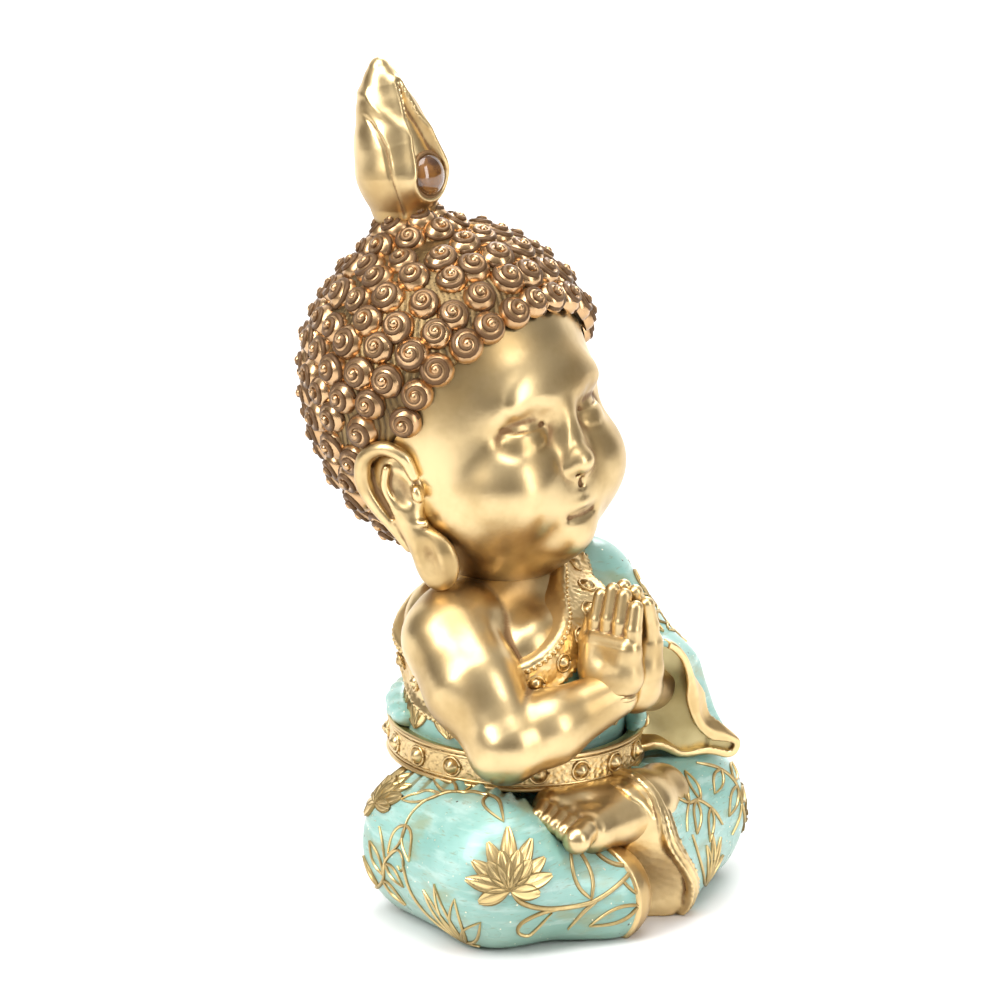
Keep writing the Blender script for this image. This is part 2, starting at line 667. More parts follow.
def hand(side):
    """One flat hand, fingers up, with its palm on the plane x = 0."""
    m = np.array([side, 1, 1.0])
    clay = Clay((-2, -36, 38), (26, 0, 84), 0.3) if side > 0 else Clay((-12, -36, 46), (12, -2, 84), 0.3)
    palm = np.array([3.7, WRIST[1], WRIST[2] + 5])
    clay.add(cone((palm + (0, 3.4, 0)) * m, 4.6, (palm + (0, -3.4, 0)) * m, 4.6))
    clay.add(cone((palm + (0.2, 4.6, 7)) * m, 3.2, (palm + (0.2, -4.6, 7)) * m, 3.1), 5)
    clay.add(cone(WRIST * m, 5.7, (palm + (0, 0, -2)) * m, 4.9), 3)
    clay.add(egg((palm + (1.6, 4.5, 0.5)) * m, (3.0, 3, 5.5)), 3)
    for i, top in enumerate((17.6, 19.4, 18.7, 16.4)):
        root = palm + (-0.2, 5.5 - 3.65 * i, 6)
        joint = palm + (-0.5, 5.3 - 3.55 * i, 6 + 0.5 * (top - 6))
        tip = palm + (-1.7, 5.0 - 3.4 * i, top)
        clay.add(cone(root * m, 2.15, joint * m, 2.1), 0.25)
        clay.add(cone(joint * m, 2.05, tip * m, 1.8), 0.3)
    clay.add(cone((palm + (0.3, 6.2, 0)) * m, 2.8, (palm + (-0.6, 8.2, 6.5)) * m, 2.3), 2)
    clay.add(cone((palm + (-0.6, 8.2, 6.5)) * m, 2.3, (palm + (-1.4, 7.6, 11.5)) * m, 1.8), 0.8)
    turn = np.linspace(0, 2 * math.pi, 25)
    for drop in (-3.6, -5.6):
        crease = [(palm + (5.6 * math.cos(t), 6.1 * math.sin(t), drop + 0.5 * math.sin(t))) * m
                  for t in turn]
        clay.cut(chain(crease, [0.25] * len(crease)), 0.8)
    if side > 0:
        clay.add(cone(WRIST, 5.6, (WRIST + ELBOW) / 2 + (1, 1, 0), 6.2), 3)
    clay.keep(side_of((side * 0.04, 0, 0), (-side, 0, 0)), 0.4)
    return clay


# ---------- sleeve ----------

SLEEVE_ELBOW = np.array([27, -7, 49.0])
SLEEVE_TIP = np.array([36.6, -22, 33.6])
SLEEVE_HEEL = np.array([14.5, -13, 39.6])
MOUTH = np.array([21, -19, 46.0])
MOUTH_N = unit((-0.43, -0.853, -0.29))


def sleeve_shape():
    """The whole sleeve as one solid, from the shoulder to the wide mouth, with soft folds."""
    clay = Clay((-2, -34, 28), (48, 46, 90), 0.45)
    clay.add(cone(SHOULDER + (0.5, 0.5, 0), 12.2, SLEEVE_ELBOW, 10.0))
    clay.add(cone(SHOULDER + (-1, 1, 1), 12, (11, SPINE_Y + 4, 70), 9.5), 5)
    clay.add(cone(SLEEVE_ELBOW, 9.6, WRIST + (7.6, 0, 2.5), 7.4), 5)
    clay.add(cone(SLEEVE_ELBOW + (-1, -2, -1), 8.2, SLEEVE_TIP, 1.7), 5)
    clay.add(cone(SLEEVE_ELBOW + (-4, -2, -2), 8, SLEEVE_HEEL, 3.2), 6)
    clay.add(cone(SLEEVE_HEEL, 3.0, SLEEVE_TIP, 1.7), 4)
    clay.add(cone(SLEEVE_ELBOW + (1, -2, -2), 8, SLEEVE_TIP + (0, 13, 4), 3.6), 5)
    clay.add(cone(WRIST + (8.5, -1, -1), 6.4, (SLEEVE_HEEL + SLEEVE_TIP) / 2, 4), 5)
    x, y, z = clay.points()
    folds = np.sin(0.50 * z + 0.34 * x + 0.9 * np.sin(0.1 * y))
    clay.swell(0.35 * folds * np.clip((70 - z) / 20, 0, 1))
    return clay


def sleeve_parts():
    """The robe's sleeve, the gold lining dished inside its mouth, and the mouth's gold rim."""
    outer = sleeve_shape()
    x, y, z = outer.points()
    out = (x - MOUTH[0]) * MOUTH_N[0] + (y - MOUTH[1]) * MOUTH_N[1] + (z - MOUTH[2]) * MOUTH_N[2]
    out = (out + 0.2 * np.sin(0.22 * z + 0.15 * x)).astype(np.float32)
    dish = out + 1.2 + 5.0 * np.exp(-(((x - 17) / 9) ** 2 + ((z - 46) / 8) ** 2))
    dish = dish.astype(np.float32)
    pocket = np.maximum(outer.d + WALL, -dish - 1)
    robe = outer.copy().within(out, 0.8).within(-pocket, 0.5).within(-torso_on(outer) - 1.2)
    lining = outer.copy(-0.5 * WALL).within(dish, 0.4).within(-out - 16)
    plug = np.maximum(outer.d + 0.3, np.maximum(np.abs(out + 1.4) - 0.7, SLEEVE_TIP[0] - 5 - x))
    lining.d = blend_min(lining.d, plug.astype(np.float32), 0.8)
    rim = outer.like(np.abs(outer.d + WALL / 2 - 0.15) - 0.95)
    rim.within(np.maximum(out - 0.4, -dish - 0.8), 0.5).within(13.5 - x)
    return robe, lining, rim


def torso_on(clay):
    """The bare torso's distances on another block's grid."""
    torso = torso_only(0.2, clay.step)
    first = np.round((torso.low - clay.low) / clay.step).astype(int)
    low = np.maximum(first, 0)
    high = np.minimum(first + torso.d.shape, clay.d.shape)
    there = np.full_like(clay.d, FAR)
    to = tuple(slice(a, b) for a, b in zip(low, high))
    there[to] = torso.d[tuple(slice(a - f, b - f) for a, b, f in zip(low, high, first))]
    return there


# ---------- many small copies ----------

def frame_at(point, normal, up=(0, 0, 1)):
    """A 4x4 matrix with its Z along the normal and its Y as near to up as it can be."""
    z = unit(normal)
    x = np.cross(up, z)
    if np.linalg.norm(x) < 1e-3:
        x = np.cross((0, 1, 0), z)
    x = unit(x)
    m = np.eye(4)
    m[:3, 0], m[:3, 1], m[:3, 2], m[:3, 3] = x, np.cross(z, x), z, point
    return m


def scattered(copies):
    """One mesh from many (verts, faces, matrix) copies."""
    verts, faces, count = [], [], 0
    for v, f, m in copies:
        verts.append(turned(m, v))
        faces.append(f + count)
        count += len(v)
    return np.concatenate(verts), np.concatenate(faces)


def ring_quads(rings, sides):
    """Quads between neighbouring rings of points."""
    j = np.arange(sides)
    k = (j + 1) % sides
    low = np.arange(rings - 1)[:, None] * sides
    return np.stack([low + j, low + k, low + sides + k, low + sides + j], 2).reshape(-1, 4)


def cap_quads(first, sides, apex):
    """Quads that close the ring starting at the first point on one point more."""
    j = np.arange(0, sides, 2)
    return np.stack([first + j, first + (j + 1) % sides, first + (j + 2) % sides, 0 * j + apex], 1)


def sweep(path, radii, sides):
    """A closed tube of quads along a path."""
    path = np.asarray(path, float)
    tangent = np.gradient(path, axis=0)
    tangent /= np.linalg.norm(tangent, axis=1, keepdims=True)
    side = np.cross(tangent, (0, 0, 1.0))
    side /= np.linalg.norm(side, axis=1, keepdims=True)
    up = np.cross(side, tangent)
    turn = np.arange(sides) * 2 * math.pi / sides
    radii = np.broadcast_to(radii, len(path))
    rings = path[:, None] + radii[:, None, None] * (
        side[:, None] * np.cos(turn)[None, :, None] + up[:, None] * np.sin(turn)[None, :, None])
    verts = np.concatenate([rings.reshape(-1, 3), path[[0, -1]]])
    count = len(path) * sides
    caps = np.stack([cap_quads(0, sides, count)[:, ::-1], cap_quads(count - sides, sides, count + 1)], 1)
    return verts, np.concatenate([ring_quads(len(path), sides), caps.reshape(-1, 4)])


def ring_tube(r, thick, steps, sides, height=0.0):
    """A tube swept once round a circle."""
    t = np.linspace(0, 2 * math.pi, steps)
    return sweep(np.stack([r * np.cos(t), r * np.sin(t), height + 0 * t], 1), thick, sides)


def turned_form(line, sides, top):
    """Quads round Z through rings of radius, height and shift, closed on a top point."""
    verts = [
        (r * math.cos(t), r * math.sin(t), z)
        for r, z, shift in line
        for t in 2 * math.pi * (np.arange(sides) + shift) / sides
    ]
    cap = cap_quads(len(verts) - sides, sides, len(verts))
    return np.array(verts + [(0, 0, top)]), np.concatenate([ring_quads(len(line), sides), cap])


def dome(r, h, sides, rings):
    """A low round dome on a short skirt."""
    arc = np.linspace(0, math.radians(82), rings)
    return turned_form([(r, -0.6, 0)] + [(r * math.cos(a), h * math.sin(a), 0) for a in arc], sides, h)


def cut_stone(d, h, sides=8):
    """A stone with a girdle and two rows of facets."""
    rings = [(d / 2, -0.8, 0), (d / 2, 0.25 * h, 0), (0.34 * d, 0.66 * h, 0.5), (0.11 * d, h, 1.0)]
    return turned_form(rings, sides, 1.02 * h)


def struck(tree, start, way, reach):
    """The point and the normal where a ray first meets a surface, or None."""
    hit, normal, index, distance = tree.ray_cast(Vector(start), Vector(way), reach)
    return None if hit is None else (np.array(hit), np.array(normal))


def walk(tree, centre, m, offset, turns, reach=70):
    """Points and normals where rays in a tilted plane, cast from far outside, first meet a surface."""
    found = []
    for a in turns:
        out = outward(m, a)
        start = np.asarray(centre) + m[:3, 2] * offset + out * reach
        found.append(struck(tree, start, -out, reach))
    return [spot for spot in found if spot is not None]


def evenly(found, gap):
    """A closed walk resampled at an even gap."""
    points = np.array([p for p, n in found])
    normals = np.array([n for p, n in found])
    steps = np.linalg.norm(np.roll(points, -1, 0) - points, axis=1)
    along = np.concatenate([[0], np.cumsum(steps)])
    count = int(along[-1] / gap)
    at = np.arange(count) * along[-1] / count
    p, n = [
        np.stack([np.interp(at, along, np.append(values[:, i], values[0, i])) for i in range(3)], 1)
        for values in (points, normals)
    ]
    return [(a, unit(b)) for a, b in zip(p, n)]


def set_studs(spots, d, h, sink, collar_r, collar_rise):
    """Cut stones sunk in at some spots, and a round collar about each, a little above its seat."""
    stone = cut_stone(d, h)
    collar = ring_tube(collar_r, COLLAR_T, 17, 6)
    stones = [(*stone, frame_at(p - n * sink, n)) for p, n in spots]
    collars = [(*collar, frame_at(p + n * (collar_rise - sink), n)) for p, n in spots]
    return scattered(stones), scattered(collars)


# ---------- sash and robe over the chest ----------

FULL_TURN = np.radians(np.arange(0, 360, 1.0))


def robe_body():
    clay = TORSO.copy(1.2)
    x, y, z = clay.points()
    drape = np.sin(0.55 * z + 0.25 * x + np.sin(0.2 * x)) * np.clip((z - 40) / 10, 0, 1)
    clay.swell(0.18 * drape)
    clay.within(height_over(SASH, x, y, z) + SASH_W / 2 - 0.6)
    clay.within(-height_over(BELT, x, y, z) - BELT_H / 2)
    return clay.within(-TORSO.d - 1.0)


def sash_band():
    clay = torso_only(1.9, 0.36)
    x, y, z = clay.points()
    h = height_over(SASH, x, y, z)
    grain = np.sin(2.4 * x + 1.4 * np.sin(1.7 * z)) * np.sin(2.5 * z + 1.3 * np.sin(1.9 * y))
    grain *= np.sin(2.3 * y + 1.2 * np.sin(1.5 * x) + 0.9)
    rolled = 0.5 * np.exp(-((np.abs(h) - SASH_W / 2 + 0.9) / 0.8) ** 2)
    inner = clay.copy(-3.0)
    clay.swell(0.12 * np.sign(grain) * np.sqrt(np.abs(grain)) + rolled)
    return clay.within(np.abs(h) - SASH_W / 2, 0.8).within(-inner.d)


def sash_trims(tree):
    """Two rows of beads along the sash's edges, and the studs in their collars along its middle."""
    centre = (0, SPINE_Y, SASH_AT[2] - SASH_AT[0] * math.tan(SASH_RISE))
    bead = dome(0.74, 0.70, 8, 3)
    beads = []
    for side in (-1, 1):
        row = evenly(walk(tree, centre, SASH, side * (SASH_W / 2 - 0.9), FULL_TURN), 1.55)
        beads += [(*bead, frame_at(p - n * 0.1, n)) for p, n in row]
    middle = evenly(walk(tree, centre, SASH, 0, FULL_TURN), 8.6)
    return scattered(beads), *set_studs(middle, 3.3, 1.5, 0.2, 2.1, 0.25)


# ---------- belt ----------

def belt_band():
    clay = Clay((-34, SPINE_Y - 34, 28), (34, SPINE_Y + 34, 49), 0.33)
    x, y, z = clay.points()
    reach = np.hypot(x, y - SPINE_Y)
    turn = np.arctan2(x, -(y - SPINE_Y))
    grain = np.sin(96 * turn + 1.4 * np.sin(2.7 * z)) * np.sin(3.3 * z + 1.3 * np.sin(48 * turn))
    face = reach - BELT_R + 0.3 - 0.16 * np.sign(grain) * np.sqrt(np.abs(grain))
    clay.d = np.maximum(face, BELT_R - 3.2 - reach).astype(np.float32)
    return clay.within(np.abs(height_over(BELT, x, y, z)) - BELT_H / 2 + 0.4, 0.8)


def belt_cords():
    """A thick and a thin cord along each edge of the belt."""
    cords = []
    for side in (-1, 1):
        for inset, thick in ((0.35, 0.62), (1.45, 0.36)):
            cord = ring_tube(BELT_R - 0.2 - 0.10 * inset, thick, 241, 8, side * (BELT_H / 2 - inset))
            cords.append((*cord, BELT))
    return scattered(cords)


def belt_studs():
    ways = [outward(BELT, 2 * math.pi * (i + 0.5) / BELT_STUDS) for i in range(BELT_STUDS)]
    return set_studs([(BELT[:3, 3] + way * BELT_R, way) for way in ways], 3.9, 1.8, 0.35, 2.3, 0.2)


def waist_fold():
    """A rolled fold of the robe over the back of the belt."""
    clay = Clay((-34, SPINE_Y - 10, 34), (14, SPINE_Y + 36, 54), 0.45)
    turns = np.linspace(math.radians(70), math.radians(150), 12)
    path = [BELT[:3, 3] + outward(BELT, a) * (BELT_R - 2.6) + BELT[:3, 2] * 6.2 for a in turns]
    radii = 3.5 - 0.9 * np.abs(np.linspace(-1, 1, len(path))) ** 3
    clay.add(chain(path, list(radii)))
    x, y, z = clay.points()
    clay.swell(0.16 * np.sin(0.9 * (x + 0.5 * y) + 1.1 * z + np.sin(0.5 * x)))
    return clay.within(BELT_H / 2 - 0.2 - height_over(BELT, x, y, z))


# ---------- head ----------

def skull(r):
    """A ball above its widest ring, drawn out longer below it."""
    def field(x, y, z):
        low = np.where(z < 0, 1 / HAIR_LOW, 1)
        return np.sqrt(x * x + y * y + (z * low) ** 2) - r
    return field, np.array([-r, -r, -r * HAIR_LOW]), np.array([r, r, r])


def face_mass():
    clay = Clay((-36, -43, -56), (36, 36, 36), 0.44)
    clay.add(skull(SKULL_R))
    clay.add(egg((0, -7, -14), (28, 25.2, 23)), 8)
    clay.add(egg((0, -12.5, -29), (23, 19.5, 20)), 8)
    for s in (-1, 1):
        clay.add(egg((s * 13, -17.5, -26), (12.5, 13, 12.5)), 8)
    return clay


def carved(clay):
    """A calm child's face: eyes half way down, nose and mouth on thirds below, a soft smile."""
    clay.add(egg((0, -29.4, -4), (15, 3.6, 6)), 7)
    for s in (-1, 1):
        clay.cut(chain([(s * 6.0, -35.4, -11.6), (s * 11, -34.8, -10.8), (s * 16.5, -31.2, -12.0)],
                       [3.0, 4.0, 3.0]), 5)
        clay.add(egg((s * 11.0, -27.4, -13.0), (6.4, 4.8, 4.4), (0, 0, s * 14)), 1.6)
        slit = [(s * x, y, z) for x, y, z in
                ((5.4, -31.0, -13.9), (8.2, -32.3, -14.9), (11.2, -32.1, -15.2), (14.2, -30.6, -14.6),
                 (16.8, -28.4, -13.2))]
        clay.cut(chain(slit, [0.25, 0.4, 0.45, 0.4, 0.25]), 0.7)
        crease = [(x, y + 0.3, z + 4.6 - abs(abs(x) - 11) * 0.16) for x, y, z in slit]
        clay.cut(chain(crease, [0.2, 0.3, 0.35, 0.3, 0.2]), 1.0)
        lash = [(x, y + 0.35, z + 0.85) for x, y, z in slit]
        clay.add(chain(lash, [0.35, 0.55, 0.6, 0.55, 0.35]), 0.6)
        brow = [(s * x, y, z) for x, y, z in
                ((5.0, -32.4, -6.0), (9.0, -31.6, -3.9), (13.4, -29.6, -3.6), (18, -26.6, -5.8))]
        clay.add(chain(brow, [0.5, 0.75, 0.75, 0.4]), 1.6)
        clay.add(egg((s * 12.4, -26.0, -24), (9.0, 7.6, 8.4)), 7)
    clay.add(cone((0, -31.0, -11), 2.4, (0, -33.6, -19.6), 2.9), 5)
    clay.add(egg((0, -35.2, -21.2), (3.5, 3.0, 2.8)), 2.4)
    for s in (-1, 1):
        clay.add(egg((s * 3.3, -33.4, -22.0), (2.1, 2.4, 1.9)), 1.4)
        clay.cut(egg((s * 1.8, -35.0, -23.9), (0.8, 1.1, 0.7)), 0.5)
    clay.add(egg((0, -29.2, -29.4), (8.4, 4.4, 5.6)), 5)
    clay.cut(cone((0, -34.2, -25.0), 0.5, (0, -34.0, -26.8), 0.6), 1.2)
    parting = [(-6.4, -30.6, -28.6), (-3.4, -32.9, -29.6), (0, -33.6, -29.7), (3.4, -32.9, -29.6),
               (6.4, -30.6, -28.6)]
    upper = [(x * 0.9, y + 0.2, z + 1.0) for x, y, z in parting]
    lower = [(x * 0.72, y + 0.2, z - 1.3) for x, y, z in parting]
    clay.add(chain(upper, [0.3, 0.85, 0.8, 0.85, 0.3]), 1.2)
    clay.add(chain(lower, [0.5, 1.15, 1.35, 1.15, 0.5]), 1.4)
    clay.cut(chain(parting, [0.25, 0.32, 0.32, 0.32, 0.25]), 0.7)
    for s in (-1, 1):
        clay.cut(ball((s * 7.2, -31.2, -28.2), 0.7), 2.4)
    clay.cut(chain([(-4, -32.4, -34.0), (0, -33.4, -34.3), (4, -32.4, -34.0)], [0.5, 0.9, 0.5]), 3.5)
    clay.add(egg((0, -26.6, -38.5), (7.5, 5.8, 5.6)), 6)
    return clay


def head():
    clay = carved(face_mass())
    clay.add(egg((0, -10, -41), (17, 14, 9)), 5)
    return clay


def curve(points, gap=None):
    """A rounded curve through the points, with six steps to each, or with steps of about the gap."""
    p = np.array(points, float)
    p = np.concatenate([[2 * p[0] - p[1]], p, [2 * p[-1] - p[-2]]])
    out = []
    for a, b, c, d in zip(p, p[1:], p[2:], p[3:]):
        count = 6 if gap is None else max(2, int(np.linalg.norm(c - b) / gap))
        for t in np.arange(count) / count:
            out.append(0.5 * (2 * b + (c - a) * t + (2 * a - 5 * b + 4 * c - d) * t ** 2
                              + (3 * b - a - 3 * c + d) * t ** 3))
    return np.array(out + [p[-2]])


def ear(side):
    """A long-lobed ear, built flat (X outward, -Y forward) and then leaned on the side of the head."""
    clay = Clay((-9, -18, -44), (9, 18, 18), 0.38)
    clay.add(egg((-2.4, 0.4, -2.6), (3.2, 6.8, 9.2)))
    clay.add(chain([(-1.4, 0.8, -9), (-1.0, -1.0, -16), (-0.6, -3.4, -22)], [3.6, 3.4, 3.6]), 3)
    clay.add(egg((-0.4, -3.6, -24.0), (2.4, 5.6, 7.8), (8, 0, 0)), 3)
    helix = curve([(0.2, -5.8, -1.0), (0.8, -5.0, 4.6), (0.9, -0.6, 8.0), (0.9, 4.8, 6.2), (0.9, 7.2, 0.4),
                     (0.8, 6.2, -6), (0.5, 3.8, -12.5), (0.0, 2.2, -19)])
    thick = np.interp(np.linspace(0, 7, len(helix)), range(8), [1.2, 1.6, 1.9, 2.0, 2.0, 1.8, 1.5, 0.9])
    clay.add(chain(helix, list(thick)), 1.0)
    groove = curve([(1.2, -2.6, 4.2), (1.4, 2.0, 4.2), (1.4, 4.4, -1.5), (1.3, 2.6, -9.5)])
    clay.cut(chain(groove, [0.8] * len(groove)), 0.8)
    clay.cut(egg((1.8, -1.8, -3.4), (2.4, 2.8, 5.4), (-14, 0, 0)), 1.0)
    fold = curve([(0.9, 0.2, 2.6), (1.2, 2.0, -1.8), (1.1, 1.2, -7.2), (0.7, -1.4, -12.2),
                  (0.4, -4.4, -13.4)])
    clay.add(chain(fold, [0.95] * len(fold)), 0.6)
    clay.add(egg((0.4, -5.2, -5.6), (1.5, 1.3, 2.4)), 1.0)
    clay.cut(egg((2.9, -3.2, -23.0), (1.7, 2.2, 6.4), (8, 0, 0)), 2.0)
    lean = placed((32.0, -5.6, -16.6), np.radians((-7, 6, -15))) @ np.diag((1, 1, 0.93, 1))
    verts, faces = clay.mesh()
    verts = turned(lean, verts)
    if side < 0:
        verts = verts * MIRROR
        faces = faces[:, ::-1]
    return turned(HEAD, verts), faces


HAIR_LEAN = math.radians(47)
HAIR_EDGE = math.radians(107)
CURL_STEP = math.radians(12.2)
CURL_RINGS = 10
CURL_GAP = 7.5
BUN_RING = math.radians(26.5)


def hair_cap():
    clay = Clay((-38, -38, -46), (38, 38, 38), 0.5)
    clay.add(skull(HAIR_R))
    x, y, z = clay.points()
    turn = np.arctan2(x, -y)
    strands = np.sin(120 * turn + 2.5 * np.sin(0.5 * z)) * np.clip(np.hypot(x, y) / 18, 0, 1)
    clay.swell(0.22 * strands)
    return clay.within(-(math.sin(HAIR_LEAN) * y + math.cos(HAIR_LEAN) * z + 11), 1.0)


def hair_bun():
    clay = Clay((-18, -18, 8), (18, 18, 42), 0.45)
    clay.add(ball((0, 0, BUN_RISE), BUN_R))
    x, y, z = clay.points()
    clay.swell(0.14 * np.sin(48 * np.arctan2(x, -y)))
    return clay


def snail_curl(r, h, turns=2.3):
    """A snail curl: a tube wound up a low dome, round a small knob."""
    t = np.linspace(0, 1, int(15 * turns) + 1)
    a = 2 * math.pi * turns * t
    tube = 0.21 * r - 0.07 * r * t
    reach = (r - tube) * (1 - t) ** 0.95
    z = h * (0.92 - 0.72 * (reach / r) ** 1.7) - tube
    z[:6] -= np.linspace(0.9, 0, 6)
    path = np.stack([reach * np.cos(a), reach * np.sin(a), z], 1)
    coil = sweep(path, tube, 7)
    base = dome(r * 0.95, h * 0.70, 16, 4)
    knob = dome(r * 0.25, h * 0.16, 8, 3)
    parts = [(*coil, np.eye(4)), (*base, np.eye(4)), (*knob, frame_at((0, 0, h * 0.78), (0, 0, 1)))]
    return scattered(parts)


def curl_rings():
    """Directions of the curls, in rings from the hairline to the crown, with a little disorder."""
    rng = np.random.default_rng(4)
    tilt = np.array(Matrix.Rotation(-HAIR_LEAN, 3, "X"))
    found = []
    for k in range(CURL_RINGS):
        polar = HAIR_EDGE - CURL_STEP * k
        count = max(1, round(2 * math.pi * HAIR_R * math.sin(max(polar, 0.01)) / CURL_GAP))
        for i in range(count):
            a = 2 * math.pi * (i + (k % 2) / 2) / count + rng.normal(0, 0.018)
            p = polar + rng.normal(0, 0.012)
            d = tilt @ np.array([math.sin(p) * math.sin(a), -math.sin(p) * math.cos(a), math.cos(p)])
            found.append((d, rng.uniform(0, 2 * math.pi), rng.uniform(0.93, 1.06)))
    return found


def spot_on_hair(d):
    low = HAIR_LOW if d[2] < 0 else 1
    point = d * HAIR_R * np.array([1, 1, low])
    return point, unit(d * np.array([1, 1, 1 / low]))


def hair_curls():
    """The curls in two meshes, the front half and the back half."""
    coil = snail_curl(4.3, 4.2)
    bun_dir = np.array([0, math.sin(BUN_BACK), math.cos(BUN_BACK)])
    halves = [[], []]
    for d, spin, size in curl_rings():
        behind_ear = abs(d[0]) > 0.8 and d[2] < -0.22 and d[1] < 0.12
        if math.acos(min(1, d @ bun_dir)) < BUN_RING or behind_ear:
            continue
        point, normal = spot_on_hair(d)
        m = frame_at(point - normal * 0.3, normal, (math.cos(spin), math.sin(spin), 0.3))
        m[:3, :3] *= size
        halves[1 if d[1] > 0.1 else 0].append((*coil, HEAD @ m))
    return [scattered(half) for half in halves]


def bun_curls():
    coil = snail_curl(4.0, 4.0)
    rng = np.random.default_rng(9)
    made = []
    for polar, count, shift in ((78, 11, 0.0), (50, 9, 0.5), (26, 6, 0.2)):
        for i in range(count):
            a, p = 2 * math.pi * (i + shift) / count, math.radians(polar)
            d = np.array([math.sin(p) * math.cos(a), math.sin(p) * math.sin(a), math.cos(p)])
            spin = rng.uniform(0, 2 * math.pi)
            at = np.array([0, 0, BUN_RISE]) + d * (BUN_R - 0.3)
            made.append((*coil, BUN @ frame_at(at, d, (math.cos(spin), math.sin(spin), 0.3))))
    return scattered(made)


# ---------- finial ----------

def finial():
    """A folded flame bud: a hood over two side petals, open in front on a drop-shaped recess."""
    clay = Clay((-13, -14, -4), (13, 14, 44), 0.32)
    spine = [(0, 0.4, 3), (0, 0.2, 11), (0, 1.4, 18), (0, 2.4, 26), (0, 3.0, 32), (0, 3.2, 36)]
    radii = [7.8, 10.2, 8.8, 6.6, 4.6, 2.6]
    for i in range(len(spine) - 1):
        clay.add(cone(spine[i], radii[i], spine[i + 1], radii[i + 1]), 2.5)
    x, y, z = clay.points()
    drop = cone((0, 0, 10.5), 5.4, (0, 0, 32), 0.3)[0](x, 0 * y, z)
    front = np.clip((1 - y) / 3, 0, 1)
    fold = z - 31.5 + 0.9 * np.clip(3 - y, 0, 12)
    hood = 0.6 / (1 + np.exp(-np.clip(fold / 0.5, -30, 30)))
    lip = 0.3 * np.exp(-((fold + 1.0) / 1.1) ** 2)
    rims = 0.8 * np.exp(-((drop - 0.9) / 1.0) ** 2)
    turn = np.arctan2(np.abs(x), -y)
    seam = np.radians(50 + 0.9 * z + 40 * np.clip((z - 17) / 9, 0, 1) ** 2)
    across = np.hypot(x, y) * (turn - seam)
    line = 0.45 * np.exp(-(across / 0.5) ** 2) * np.clip((26 - z) / 2, 0, 1) * np.clip(z - 1, 0, 1)
    recess = np.where(drop < 0, np.minimum(1.8, -drop * 1.4), 0) * front
    clay.swell((lip - hood) * (drop > 0) + rims * front - recess - line)
    clay.cut(cone((0, -13, 10.5), 5.0, (0, -8.9, 10.5), 5.0), 0.5)
    return clay


def finial_stone():
    """The round stone in the recess, and its rim."""
    seat = FINIAL @ placed((0, -8.4, 10.5), (math.radians(86), 0, 0))
    parts = dome(4.9, 2.6, 40, 14), ring_tube(5.2, 0.55, 49, 8)
    return [(turned(seat, verts), faces) for verts, faces in parts]


# ---------- raised gold flowers and vines ----------

